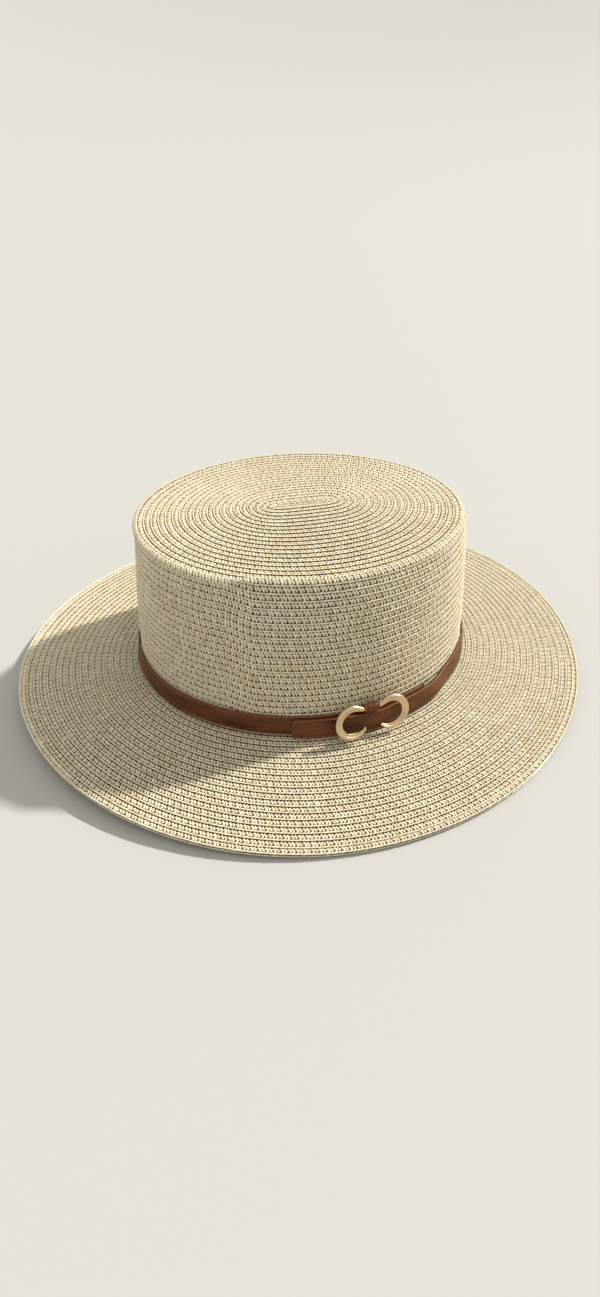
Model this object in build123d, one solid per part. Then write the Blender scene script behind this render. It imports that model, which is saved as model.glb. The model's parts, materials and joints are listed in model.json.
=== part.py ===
from build123d import *
import os
from math import cos, pi, radians, sin

# Straw sun hat with a flat-topped crown, a wide brim and a buckled leather belt.
# Millimetres. +X runs from back to front along the oval's long axis, +Z up.
# The origin is under the middle of the brim, on the surface that the hat rests on.

# ---- driving dimensions -------------------------------------------------------------
# crown
crown_base_length = 203.0   # outside of the oval where crown meets brim, along X
crown_base_width = 177.0    # the same, along Y
crown_height = 90.8         # from the brim seam to the flat tip
crown_taper = 8.5           # how far each side leans in by the time it reaches the rim
crown_belly = 1.6           # exponent of the taper: above 1 the wall bellies outwards
rim_round = 3.0             # radius of the crease between wall and tip
tip_turn_down = 4.0         # how far the tip's last row turns down the wall
straw_wall = 1.6            # two laps of braid
# brim
brim_width = 73.2           # crown to edge, level
brim_drop = 5.5             # fall of the brim's top from the seam to its lowest edge
brim_thickness = 1.5
brim_lift = 7.7             # how far the two ends of the brim curl up
brim_lift_turn = 13.0       # degrees from +X to the highest point of the edge
brim_rest_share = 0.8       # cosine of twice the half-angle of each arc that lies flat
brim_lift_power = 1.2       # how gently the curl leaves the flat arcs
edge_row_width = 5.0        # second row of braid sewn under the edge
edge_row_thickness = 1.3
edge_wire_diameter = 0.8
wire_sides = 12
# sweatband
sweatband_height = 28.0
sweatband_thickness = 0.8
# belt
strap_width = 14.0
strap_thickness = 1.2
strap_tail_angle = -105.6   # where the rounded tail ends, as the oval's angle
strap_hidden_end = -60.0    # where the inner end stops, under the lap
strap_climb = 16.0          # degrees in which the strap climbs onto its own end
tail_corner = 6.7           # rounding of the tail's two corners
# buckle and keeper
buckle_angle = -82.1        # the oval's angle at the buckle's middle
buckle_length = 43.0        # across both rings
buckle_height = 20.0
buckle_bar_diameter = 2.4
buckle_band = 3.4           # width of the metal round each ring
buckle_thickness = 2.1
buckle_bar_below_top = 4.0  # from the rings' tops to the bar's centre
buckle_lean = 20.0          # degrees that the buckle stands out from the strap
tip_gap = 8.6               # between the two open ends
tip_size = 1.3              # thickness of an open end
taper_share = 0.25          # share of each ring in which its band tapers
band_points = 12            # points that each outline of a ring is drawn through
band_round = 0.4            # rounding of the metal's long edges
keeper_width = 8.4
keeper_leather = 1.2
# thread tacks that hold the belt to the crown
tack_angles = (25.0, 95.0, 165.0, 235.0)
tack_thread = 0.8
tack_length = 3.0

# ---- clearances ---------------------------------------------------------------------
layer_gap = 0.1             # between two laid layers of braid
seat_gap = 0.2              # between leather or cloth and the straw behind it
strap_lift = 0.4            # strap above the brim
lap_gap = 0.15              # between the strap's layers and the keeper's strip
bar_clearance = 0.08        # bar inside the keeper's roll, on the radius
swing_gap = 0.3             # between the moving buckle and what lies still

# ---- derived places -----------------------------------------------------------------
base_a = crown_base_length / 2
base_b = crown_base_width / 2
edge_total = brim_thickness + layer_gap + edge_row_thickness
seam_z = edge_total + brim_drop
top_z = seam_z + crown_height
tip_seam_z = top_z - tip_turn_down
curve_points = 48           # points that a closed curve round the oval is drawn through


def oval_point(offset, angle, z):
    """A point on the oval that lies `offset` outside the crown's foot."""
    return Vector((base_a + offset) * cos(angle), (base_b + offset) * sin(angle), z)


def wall_inset(z):
    """How far the crown's outside has leaned in at height z."""
    climbed = min(max((z - seam_z) / crown_height, 0.0), 1.0)
    return crown_taper * climbed ** crown_belly


def oval_stack(offset, z_low, z_high, sections=5):
    """A solid whose side follows the crown's wall at a constant offset."""
    rings = []
    for i in range(sections):
        z = z_low + (z_high - z_low) * i / (sections - 1)
        inset = wall_inset(z) - offset
        rings.append(Plane.XY.offset(z) * Ellipse(base_a - inset, base_b - inset))
    return loft(rings)


def edge_lift(angle):
    """Height of the brim's edge above the resting surface."""
    turned = cos(2 * (angle - radians(brim_lift_turn)))
    share = max(0.0, (turned + brim_rest_share) / (1 + brim_rest_share))
    return brim_lift * share ** brim_lift_power


def brim_underside(offset, angle):
    """Height of the brim's lower face at a distance `offset` from the crown."""
    out = offset / brim_width
    at_seam = seam_z - brim_thickness
    at_edge = edge_total - brim_thickness + edge_lift(angle)
    return at_seam + (at_edge - at_seam) * out


def closed_curve(height, offset):
    """A smooth closed curve round the oval, `height(angle)` above the floor."""
    angles = [2 * pi * i / curve_points for i in range(curve_points)]
    points = [oval_point(offset, a, height(a)) for a in angles]
    steps = [i / curve_points for i in range(curve_points + 1)]
    return Edge.make_spline(points, periodic=True, parameters=steps)


def ring_solid(curves):
    """A closed ring whose section has one corner on each of the curves, in order."""
    faces = []
    for here, following in zip(curves, curves[1:] + curves[:1]):
        faces.append(Face.make_surface_from_curves(here, following))
    return Solid(Shell(faces))


# ---- straw --------------------------------------------------------------------------
def make_crown():
    outside = oval_stack(0.0, seam_z, top_z)
    outside = fillet(outside.edges().group_by(Axis.Z)[-1], rim_round)
    hollow = oval_stack(-straw_wall, seam_z, top_z - straw_wall)
    hollow = fillet(hollow.edges().group_by(Axis.Z)[-1], rim_round - straw_wall)
    shell = outside - hollow
    above = Plane.XY.offset(tip_seam_z)
    tip = split(shell, bisect_by=above, keep=Keep.TOP)
    side = split(shell, bisect_by=above, keep=Keep.BOTTOM)
    return tip, side


def make_brim():
    """A level margin under the crown's wall, then a leaf that slopes to the edge."""
    inner = -straw_wall
    level_top = lambda a: seam_z
    level_bottom = lambda a: seam_z - brim_thickness
    return ring_solid([
        closed_curve(level_top, inner),
        closed_curve(level_top, 0.0),
        closed_curve(lambda a: brim_underside(brim_width, a) + brim_thickness, brim_width),
        closed_curve(lambda a: brim_underside(brim_width, a), brim_width),
        closed_curve(level_bottom, 0.0),
        closed_curve(level_bottom, inner),
    ])


def make_edge_row():
    """The second row of braid under the edge, rebated for the wire."""
    rebate = edge_wire_diameter + layer_gap
    inner = brim_width - edge_row_width
    step = brim_width - rebate

    def below(offset, depth):
        return closed_curve(lambda a: brim_underside(offset, a) - layer_gap - depth, offset)

    return ring_solid([
        below(inner, 0.0),
        below(step, 0.0),
        below(step, rebate),
        below(brim_width, rebate),
        below(brim_width, edge_row_thickness),
        below(inner, edge_row_thickness),
    ])


def make_edge_wire():
    """A round wire that fills the rebate all the way round."""
    radius = edge_wire_diameter / 2
    middle = brim_width - radius

    def along(turn):
        out = radius * cos(turn)
        up = radius * sin(turn) - layer_gap - radius
        return closed_curve(lambda a: brim_underside(middle, a) + up, middle + out)

    return ring_solid([along(2 * pi * i / wire_sides) for i in range(wire_sides)])


def make_sweatband():
    low = seam_z - brim_thickness
    high = seam_z + sweatband_height
    outer = -straw_wall - seat_gap
    return oval_stack(outer, low, high) - oval_stack(outer - sweatband_thickness, low, high)


# ---- belt ---------------------------------------------------------------------------
inner_layer = seat_gap
keeper_layer = inner_layer + strap_thickness + lap_gap
outer_layer = keeper_layer + keeper_leather + lap_gap
strap_bottom = seam_z + strap_lift
strap_top = strap_bottom + strap_width


def strap_offset(turned):
    """Offset of the strap's inner face after `turned` degrees from its hidden end."""
    climb = (turned - (360 - strap_climb)) / strap_climb
    climb = min(max(climb, 0.0), 1.0)
    return inner_layer + (outer_layer - inner_layer) * (1 - cos(pi * climb)) / 2


def make_strap():
    """One strap that starts under the lap, goes right round and lies over its own end."""
    full_turn = 360 + strap_hidden_end - strap_tail_angle
    count = 2 * curve_points

    def face_curve(extra):
        points = []
        for i in range(count + 1):
            turned = full_turn * i / count
            angle = radians(strap_hidden_end - turned)
            points.append(oval_point(strap_offset(turned) + extra, angle, strap_bottom))
        return Edge.make_spline(points)

    near = face_curve(0.0)
    far = face_curve(strap_thickness)
    start = Edge.make_line(near @ 0, far @ 0)
    end = Edge.make_line(near @ 1, far @ 1)
    strap = extrude(make_face([near, end, far, start]), amount=strap_width, dir=(0, 0, 1))
    straight = strap.edges().filter_by(GeomType.LINE)
    across = straight.filter_by(lambda e: e.length < strap_width / 2)
    return fillet(across.sort_by_distance(near @ 1)[:2], tail_corner)


tacks_stand_off = seat_gap + strap_thickness + lap_gap + tack_thread / 2


def make_tack(angle):
    """Thread that comes out of the crown above the strap and goes down over its face."""
    a = radians(angle)
    height = strap_top + lap_gap + tack_thread / 2
    inside = oval_point(-wall_inset(height) + layer_gap, a, height)
    corner = oval_point(tacks_stand_off, a, height)
    foot = oval_point(tacks_stand_off, a, height - tack_length)
    path = FilletPolyline(inside, corner, foot, radius=tack_thread)
    return sweep(Plane(path @ 0, z_dir=path % 0) * Circle(tack_thread / 2), path=path)


# ---- buckle -------------------------------------------------------------------------
bar_radius = buckle_bar_diameter / 2
roll_bore = bar_radius + bar_clearance
roll_radius = roll_bore + keeper_leather
bar_z = strap_top + swing_gap + roll_radius
lean = radians(buckle_lean)
bar_offset = outer_layer + strap_thickness + swing_gap + buckle_thickness / (2 * cos(lean))
buckle_heading = radians(buckle_angle)
bar_centre = oval_point(bar_offset, buckle_heading, bar_z)
along_bar = Vector(-base_a * sin(buckle_heading), base_b * cos(buckle_heading), 0).normalized()
outwards = along_bar.cross(Vector(0, 0, 1))
bar_frame = Plane(bar_centre, x_dir=along_bar, z_dir=outwards)
leaning = outwards * cos(lean) + Vector(0, 0, 1) * sin(lean)
buckle_frame = Plane(bar_centre, x_dir=along_bar, z_dir=leaning)


def band_width(share):
    """Width of the metal at a share of the way from the bar to the open end."""
    quarter_turn = pi / 2
    if share < taper_share:
        swell = sin(quarter_turn * share / taper_share)
        return buckle_bar_diameter + (buckle_band - buckle_bar_diameter) * swell
    swell = sin(quarter_turn * min(1.0, (1 - share) / taper_share))
    return tip_size + (buckle_band - tip_size) * swell


def make_buckle():
    """A bar with a ring at each end; both rings stay open below, in narrow ends."""
    top = buckle_bar_below_top - buckle_band / 2
    bottom = buckle_bar_below_top - buckle_height + buckle_band / 2
    side = (buckle_length - buckle_band) / 2
    start = keeper_width / 2 + swing_gap
    end = tip_gap / 2 + tip_size / 2
    ring_mid = (start + side) / 2
    ring_half = (side - start) / 2
    leaving_bar = (1, 0.2)
    reaching_end = (-1, 0.8)
    line = Spline(
        (start, 0), (ring_mid, top), (side - 0.2 * ring_half, 0.15 * bottom),
        (side, 0.45 * bottom), (side - 0.25 * ring_half, 0.8 * bottom),
        (ring_mid + 0.15 * ring_half, bottom), (end, 0.8 * bottom),
        tangents=[leaving_bar, reaching_end],
    )
    outside, inside = [], []
    for i in range(band_points + 1):
        share = i / band_points
        heading = line % share
        step = Vector(-heading.Y, heading.X) * band_width(share) / 2
        outside.append(line @ share + step)
        inside.append(line @ share - step)
    outline = make_face([
        Spline(*outside), Line(outside[-1], inside[-1]),
        Spline(*inside), Line(outside[0], inside[0]),
    ])
    ring = Pos(0, 0, -buckle_thickness / 2) * extrude(outline, amount=buckle_thickness)
    ring = fillet(ring.edges().filter_by(GeomType.BSPLINE), band_round)
    bar = Rot(0, 90, 0) * Cylinder(bar_radius, 2 * start)
    return buckle_frame * (ring + mirror(ring, about=Plane.YZ) + bar)


def make_keeper():
    """Leather rolled round the buckle's bar, its ends sewn flat behind the lap."""
    back = keeper_layer - bar_offset
    front = back + keeper_leather
    foot = strap_bottom - bar_z
    lap_top = strap_top - bar_z
    side = make_face(Polyline(
        (back, foot), (front, foot), (front, lap_top + lap_gap), (0, -roll_radius),
        (0, roll_radius), (back, 0), close=True))
    profile = side + Circle(roll_radius) - Circle(roll_bore)
    across_bar = Plane(origin=(keeper_width / 2, 0, 0), x_dir=(0, 0, 1), z_dir=(-1, 0, 0))
    return bar_frame * extrude(across_bar * profile, amount=keeper_width)


# ---- build --------------------------------------------------------------------------
crown_tip, crown_side = make_crown()
parts = {
    "crown_tip": crown_tip,
    "crown_side": crown_side,
    "brim": make_brim(),
    "brim_edge_row": make_edge_row(),
    "brim_edge_wire": make_edge_wire(),
    "sweatband": make_sweatband(),
    "belt_strap": make_strap(),
    "belt_tacks": Compound(children=[make_tack(a) for a in tack_angles]),
    "belt_keeper": make_keeper(),
    "buckle": make_buckle(),
}

os.makedirs("parts", exist_ok=True)
for node, shape in parts.items():
    export_step(shape, f"parts/{node}.step")

print("bar centre", bar_centre, "along", along_bar, "outwards", outwards)
print("seam", seam_z, "top", top_z)
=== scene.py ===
# %% [markdown]
# # A straw sun hat
# A sewn straw hat is one long flat plait of straw, turned round and round on itself: it starts as a
# short straight piece in the middle of the crown's flat tip, goes over the rim, winds down the side,
# and a second length winds out over the brim. Each turn tucks under the turn before it, like roof
# tiles, and a machine stitch holds the lap. Here every strand that shows is a small real mesh, so the
# weave throws its own shadows from any side.

# %% Load the frame
import json
import math
import bmesh
import bpy
import numpy as np
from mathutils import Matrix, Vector


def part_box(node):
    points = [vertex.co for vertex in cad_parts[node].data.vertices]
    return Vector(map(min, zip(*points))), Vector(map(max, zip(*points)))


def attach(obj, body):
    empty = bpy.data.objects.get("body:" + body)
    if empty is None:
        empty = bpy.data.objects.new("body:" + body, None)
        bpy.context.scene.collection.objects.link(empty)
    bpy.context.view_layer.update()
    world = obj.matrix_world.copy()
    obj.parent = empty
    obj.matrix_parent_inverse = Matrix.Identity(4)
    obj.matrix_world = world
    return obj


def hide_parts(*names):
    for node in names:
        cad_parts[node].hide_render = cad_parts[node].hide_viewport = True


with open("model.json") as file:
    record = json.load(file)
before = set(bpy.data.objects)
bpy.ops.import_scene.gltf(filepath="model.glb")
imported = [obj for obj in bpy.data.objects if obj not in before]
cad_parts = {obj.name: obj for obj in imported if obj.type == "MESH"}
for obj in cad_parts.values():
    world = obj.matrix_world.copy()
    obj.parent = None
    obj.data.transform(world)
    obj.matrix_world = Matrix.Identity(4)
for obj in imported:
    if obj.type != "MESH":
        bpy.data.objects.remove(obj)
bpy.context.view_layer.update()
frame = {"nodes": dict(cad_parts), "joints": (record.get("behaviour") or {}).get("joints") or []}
MM = 0.001
hinge = frame["joints"][0]

# %% [markdown]
# ## Measures that all the pieces share
# The frame says where things are: the side's box gives the oval at the crown's foot and the height of
# the brim seam, the tip's box gives the top. What a box can't say, such as how the wall leans in, is
# a named value in metres, the same as in the part.

# %% Shared measures
foot_low, foot_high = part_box("crown_side")
tip_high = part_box("crown_tip")[1]
brim_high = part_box("brim")[1]
oval_a, oval_b = foot_high.x, foot_high.y
seam_z, top_z = foot_low.z, tip_high.z
brim_width = brim_high.y - oval_b
wall_lean = 8.5 * MM
wall_belly = 1.6
brim_thickness = 1.5 * MM
edge_row_thickness = 1.3 * MM
layer_gap = 0.1 * MM
edge_total = brim_thickness + layer_gap + edge_row_thickness
brim_lift = 7.7 * MM
brim_lift_turn = math.radians(13)
brim_rest_share = 0.8
brim_lift_power = 1.2
print("oval", round(oval_a, 4), round(oval_b, 4), "seam", round(seam_z, 4), "top", round(top_z, 4))

# %% [markdown]
# ## Camera, floor and light
# The hat lies on a plain pale floor. One broad light stands high on the right and a little behind, so
# the crown shades the left of the brim and the weave shows by its own small shadows. The room fills
# the shade: it is warm, and brighter overhead than at the level of the floor. A sun lamp with a wide
# angle gives the shadow a soft edge at any distance.

# %% Floor and backdrop
def stage_material(name, colour, roughness):
    material = bpy.data.materials.new(name)
    material.use_nodes = True
    shader = material.node_tree.nodes["Principled BSDF"]
    shader.inputs["Base Color"].default_value = (*colour, 1)
    shader.inputs["Roughness"].default_value = roughness
    return material


backdrop_flat, backdrop_reach, backdrop_rise, backdrop_sides = 3.0, 30.0, 4.2, 96
profile = [(0.3, 0.0), (1.0, 0.0)]
profile += [(backdrop_flat + (backdrop_reach - backdrop_flat) * t, backdrop_rise * t * t)
            for t in np.linspace(0, 1, 12)]
ring_angles = np.linspace(0, 2 * math.pi, backdrop_sides, endpoint=False)
backdrop_points = [(0.0, 0.0, 0.0)] + [
    (r * math.cos(a), r * math.sin(a), z) for r, z in profile for a in ring_angles]
backdrop_faces = [(0, 1 + i, 1 + (i + 1) % backdrop_sides) for i in range(backdrop_sides)]
for level in range(len(profile) - 1):
    low, high = 1 + level * backdrop_sides, 1 + (level + 1) * backdrop_sides
    backdrop_faces += [(low + i, high + i, high + (i + 1) % backdrop_sides, low + (i + 1) % backdrop_sides)
                       for i in range(backdrop_sides)]
floor_mesh = bpy.data.meshes.new("floor")
floor_mesh.from_pydata(backdrop_points, [], backdrop_faces)
floor_mesh.shade_smooth()
floor_mesh.materials.append(stage_material("pale_floor", (0.52, 0.515, 0.50), 0.9))
floor = bpy.data.objects.new("floor", floor_mesh)
bpy.context.scene.collection.objects.link(floor)

# %% The room
room_level, room_overhead = 0.30, 0.88      # brightness at floor level and straight up
world = bpy.data.worlds.new("room")
world.use_nodes = True
room_nodes, room_links = world.node_tree.nodes, world.node_tree.links
sky = room_nodes["Background"]
sky.inputs["Color"].default_value = (1.0, 0.965, 0.895, 1)
direction = room_nodes.new("ShaderNodeTexCoord")
height = room_nodes.new("ShaderNodeSeparateXYZ")
brightness = room_nodes.new("ShaderNodeMapRange")
brightness.inputs["To Min"].default_value = room_level
brightness.inputs["To Max"].default_value = room_overhead
room_links.new(direction.outputs["Generated"], height.inputs[0])
room_links.new(height.outputs["Z"], brightness.inputs["Value"])
room_links.new(brightness.outputs["Result"], sky.inputs["Strength"])
bpy.context.scene.world = world
bpy.context.scene.view_settings.view_transform = "Standard"

# %% Key light
key_azimuth = math.radians(15)
key_height = math.radians(40)
key_data = bpy.data.lights.new("key", "SUN")
key_data.energy = 4.05
key_data.angle = math.radians(2.5)
key_data.color = (1.0, 0.97, 0.91)
key = bpy.data.objects.new("key", key_data)
key.rotation_euler = (math.pi / 2 - key_height, 0, key_azimuth + math.pi / 2)
bpy.context.scene.collection.objects.link(key)

# %% Camera
camera_data = bpy.data.cameras.new("camera")
camera_data.lens = 18.04
camera_data.clip_start = 0.01
camera = bpy.data.objects.new("camera", camera_data)
camera.location = (-0.0830, -0.3292, 0.2624)
aim = Vector((-0.0193, -0.0720, 0.0553))
camera.rotation_euler = (aim - camera.location).to_track_quat("-Z", "Y").to_euler()
bpy.context.scene.collection.objects.link(camera)
bpy.context.scene.camera = camera
print("camera looks down by", round(math.degrees(camera.rotation_euler.x), 1), "degrees")

# %% [markdown]
# ## Helpers
# A finished piece is a mesh at the origin. `new_piece` makes one from points and faces, and `settle`
# gives it its body and hides the nodes that it stands for.

# %% Making and settling a piece
def new_piece(name, points, faces, material=None, smooth=True):
    mesh = bpy.data.meshes.new(name)
    mesh.from_pydata(np.asarray(points).tolist(), [], [tuple(f) for f in faces])
    mesh.update()
    if smooth:
        mesh.shade_smooth()
    if material:
        mesh.materials.append(material)
    piece = bpy.data.objects.new(name, mesh)
    bpy.context.scene.collection.objects.link(piece)
    return piece


def settle(piece, body, slot, *nodes):
    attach(piece, body)
    if nodes:
        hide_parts(*nodes)
    triangles = sum(len(p.vertices) - 2 for p in piece.data.polygons)
    print(piece.name, "rides on", body, "with", triangles, "triangles")
    return piece


def set_attribute(mesh, name, kind, values):
    attribute = mesh.attributes.new(name, kind, "POINT")
    field = "value" if kind == "FLOAT" else "vector"
    attribute.data.foreach_set(field, np.asarray(values, dtype=np.float32).ravel())


# %% A material helper
def shader_nodes(name):
    material = bpy.data.materials.new(name)
    material.use_nodes = True
    nodes = material.node_tree.nodes
    return material, nodes, material.node_tree.links, nodes["Principled BSDF"]


def ramp(nodes, links, source, stops):
    node = nodes.new("ShaderNodeValToRGB")
    elements = node.color_ramp.elements
    while len(elements) < len(stops):
        elements.new(0.5)
    for element, (place, colour) in zip(elements, stops):
        element.position = place
        element.color = (*colour, 1)
    links.new(source, node.inputs["Fac"])
    return node.outputs["Color"]


def noise(nodes, links, coordinates, scale, detail=3.0, roughness=0.55):
    node = nodes.new("ShaderNodeTexNoise")
    node.inputs["Scale"].default_value = scale
    node.inputs["Detail"].default_value = detail
    node.inputs["Roughness"].default_value = roughness
    links.new(coordinates, node.inputs["Vector"])
    return node.outputs["Fac"]


def stretched(nodes, links, coordinates, scale):
    node = nodes.new("ShaderNodeMapping")
    node.inputs["Scale"].default_value = scale
    links.new(coordinates, node.inputs["Vector"])
    return node.outputs["Vector"]


def mixed(nodes, links, kind, share, first, second):
    node = nodes.new("ShaderNodeMix")
    node.data_type = "RGBA"
    node.blend_type = kind
    if isinstance(share, float):
        node.inputs[0].default_value = share
    else:
        links.new(share, node.inputs[0])
    for socket, value in ((node.inputs[6], first), (node.inputs[7], second)):
        if isinstance(value, tuple):
            socket.default_value = (*value, 1)
        else:
            links.new(value, socket)
    return node.outputs[2]


def bumped(nodes, links, shader, height, strength, distance, below=None):
    node = nodes.new("ShaderNodeBump")
    node.inputs["Strength"].default_value = strength
    node.inputs["Distance"].default_value = distance
    links.new(height, node.inputs["Height"])
    if below:
        links.new(below, node.inputs["Normal"])
    links.new(node.outputs["Normal"], shader.inputs["Normal"])
    return node.outputs["Normal"]


# %% [markdown]
# ## Straw
# The plait is of flat paper straw: pale cream, a little different from strand to strand, with fine
# ridges along each strand. Each strand carries its own number (`shade`) and its own coordinates along
# and across itself (`fibre`), so the ridges follow the strand wherever the plait turns. A slow noise
# over the whole hat adds the faint yellower and pinker patches of such a dyed batch.
# The strip under the floats has shade 0, and the ramp's first stop paints it near black: painted shade for
# the holes.

# %% Straw material
def make_straw():
    material, nodes, links, shader = shader_nodes("plaited_straw")
    shade = nodes.new("ShaderNodeAttribute")
    shade.attribute_name = "shade"
    fibre = nodes.new("ShaderNodeAttribute")
    fibre.attribute_name = "fibre"
    coordinates = nodes.new("ShaderNodeTexCoord").outputs["Object"]
    # The first stop, near black, is painted shade: only the strip under the floats has shade 0, and it
    # shows through the holes. The other stops are the strands' own tones.
    strand = ramp(nodes, links, shade.outputs["Fac"], [
        (0.0, (0.10, 0.066, 0.030)), (0.08, (0.73, 0.635, 0.46)), (0.45, (0.83, 0.745, 0.57)),
        (0.85, (0.89, 0.81, 0.635)), (1.0, (0.93, 0.865, 0.70))])
    ridges = noise(nodes, links, stretched(nodes, links, fibre.outputs["Vector"], (350, 5200, 900)), 1.0)
    streaks = ramp(nodes, links, ridges, [(0.30, (0.80, 0.76, 0.68)), (0.62, (1, 1, 1))])
    patches = noise(nodes, links, coordinates, 38.0, 2.0)
    tint = ramp(nodes, links, patches, [
        (0.30, (1.0, 0.955, 0.90)), (0.50, (1.0, 1.0, 1.0)), (0.72, (0.985, 0.975, 0.87))])
    colour = mixed(nodes, links, "MULTIPLY", 0.55, strand, streaks)
    colour = mixed(nodes, links, "MULTIPLY", 0.8, colour, tint)
    links.new(colour, shader.inputs["Base Color"])
    shader.inputs["Roughness"].default_value = 0.58
    shader.inputs["Specular IOR Level"].default_value = 0.35
    bumped(nodes, links, shader, ridges, 0.35, 0.00012)
    return material


straw = make_straw()

# %% [markdown]
# ## The surface that the plait follows
# Two rules give any place on the straw: `crown_place` for a distance from the middle of the tip, over
# the rim and down the wall, and `brim_place` for a distance out from the crown's foot. Both take the
# angle round the oval, and arrays as well as numbers, so thousands of strands are placed in one call.

# %% The crown's rule
start_half = 16.5 * MM          # half of the straight piece that the plait starts with
start_x, start_y = 1.0 * MM, 5.5 * MM
corner_softness = 0.12
oval_excess = oval_a - oval_b
row_pitch_crown = 3.95 * MM
crease_round = 1.6 * MM
crossing_angle = math.radians(-126)
crossing_spread = math.radians(9)
crease_fade = 7.0 * MM
lean_at_rim = wall_lean * wall_belly / (top_z - seam_z)
rim_turn = math.pi / 2 - math.atan(lean_at_rim)
wall_top_z = top_z - crease_round * (1 - math.cos(rim_turn))
flat_reach = oval_b - wall_lean + lean_at_rim * (top_z - wall_top_z) - crease_round * math.sin(rim_turn)
crease_length = crease_round * rim_turn
crown_reach = flat_reach + crease_length + (wall_top_z - seam_z)


def wall_inset(z):
    return wall_lean * np.clip((z - seam_z) / (top_z - seam_z), 0, 1) ** wall_belly


def crease_shift(angle):
    """How far the rim stands out from its mean: it creeps outwards by one row in a turn."""
    turned = np.mod(angle - crossing_angle, 2 * np.pi)
    creeping = turned / (2 * np.pi) - 0.5
    returning = 0.5 - turned / crossing_spread * (1 - crossing_spread / (2 * np.pi))
    return row_pitch_crown * np.where(turned < crossing_spread, returning, creeping)


def crown_place(reach, angle):
    """Points on the crown's outside, `reach` from the middle of the tip along the straw."""
    reach = np.clip(reach, 0, crown_reach)
    shift = crease_shift(angle)
    crease = flat_reach + shift
    turned = np.clip((reach - crease) / crease_round, 0, rim_turn)
    below = reach - crease - crease_length
    wall_z = np.maximum(wall_top_z - np.clip(below, 0, None), seam_z)
    on_wall = below > 0
    z = np.where(on_wall, wall_z, top_z - crease_round * (1 - np.cos(turned)))
    faded_shift = shift * np.exp((wall_z - wall_top_z) / crease_fade)
    half = np.where(on_wall, oval_b - wall_inset(wall_z) + faded_shift,
                    np.minimum(reach, crease) + crease_round * np.sin(turned))
    share = np.clip(half / flat_reach, 0, 1)
    share = share * share * (3 - 2 * share)
    ahead = np.cos(angle)
    squared = ahead / np.sqrt(ahead * ahead + corner_softness)
    stretch = start_half * (1 - share) * squared + oval_excess * share * ahead
    x = half * ahead + stretch + start_x * (1 - share)
    y = half * np.sin(angle) + start_y * (1 - share)
    return np.stack([x, y, z], axis=-1)


print("flat tip to", round(flat_reach / MM, 1), "mm, foot at", round(crown_reach / MM, 1), "mm of straw")


# %% The brim's rule
def edge_lift(angle):
    turned = np.cos(2 * (angle - brim_lift_turn))
    raised = np.clip((turned + brim_rest_share) / (1 + brim_rest_share), 0, None)
    return brim_lift * raised ** brim_lift_power


def brim_place(reach, angle):
    """Points on the brim's upper side, `reach` out from the crown's foot."""
    edge_z = edge_total + edge_lift(angle)
    z = seam_z + (edge_z - seam_z) * np.clip(reach, 0, None) / brim_width
    return np.stack([(oval_a + reach) * np.cos(angle), (oval_b + reach) * np.sin(angle), z], axis=-1)


def edge_row_place(reach, angle):
    """Points on the upper side of the second row sewn under the brim's edge."""
    points = brim_place(reach, angle)
    points[..., 2] -= brim_thickness + layer_gap
    return points


# %% [markdown]
# ## The plait
# The holes look dark partly from real shadow and partly because the strip under them is painted near black:
# painted shade.
# A strand of the plait shows as a short float: it comes up from under its neighbour, lies on top for
# two or three millimetres and dives again. Two low float shapes with about a dozen faces, stretched
# and turned, make them all: a fuller one for the side that shows, a plainer one for the inside. Across
# a row there are three kinds on each face: a selvage along the outer edge that reads as a pale line,
# and slanted floats that fall and rise behind it and leave small dark holes. Every second float is
# slighter and lies closer to its neighbour, which gives the plait its double beat.
#
# Where each float goes is a rule, so it is worked out with numpy as a cloud of anchor points with
# their directions and sizes, and Geometry Nodes then lays the floats on the anchors, because that
# makes thousands of them in one step and gives each its own small error from a fixed seed.

# %% One float of straw
float_dive, float_full_to = 0.35, 0.34      # how deep the points end, and where the body is full
usual_float = (2.4 * MM, 1.1 * MM, MM)      # so that the ridges on all floats are about as fine


def make_float(name, section):
    """A closed float of unit length: two pointed ends and two rings with the given corners."""
    points = [(-0.5, 0, -float_dive), (0.5, 0, -float_dive)]
    points += [(x, y, z) for x in (-float_full_to, float_full_to) for y, z in section]
    corners = len(section)
    faces = []
    for i in range(corners):
        j = (i + 1) % corners
        near, near_next, far, far_next = 2 + i, 2 + j, 2 + corners + i, 2 + corners + j
        faces += [(0, near_next, near), (near, near_next, far_next, far), (far, far_next, 1)]
    shape = new_piece(name, points, faces)
    set_attribute(shape.data, "fibre", "FLOAT_VECTOR", np.array(points) * usual_float)
    print(name, "has", len(faces), "faces")
    return shape


full_float = make_float("full_float", [(-0.5, -0.2), (0.5, -0.2), (0.31, 0.5), (-0.31, 0.5)])
plain_float = make_float("plain_float", [(-0.5, -0.2), (0.5, -0.2), (0, 0.5)])

# %% The six kinds of float in a row
row_pitch_brim = 3.79 * MM
cell = 1.78 * MM                # from one float to the next along a row
row_width = 5.2 * MM
# how far a row sinks over one pitch, to pass under the row before it
crown_drop, brim_drop = 0.45 * MM, 0.62 * MM
slighter = 0.90                 # size of every second float
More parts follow.
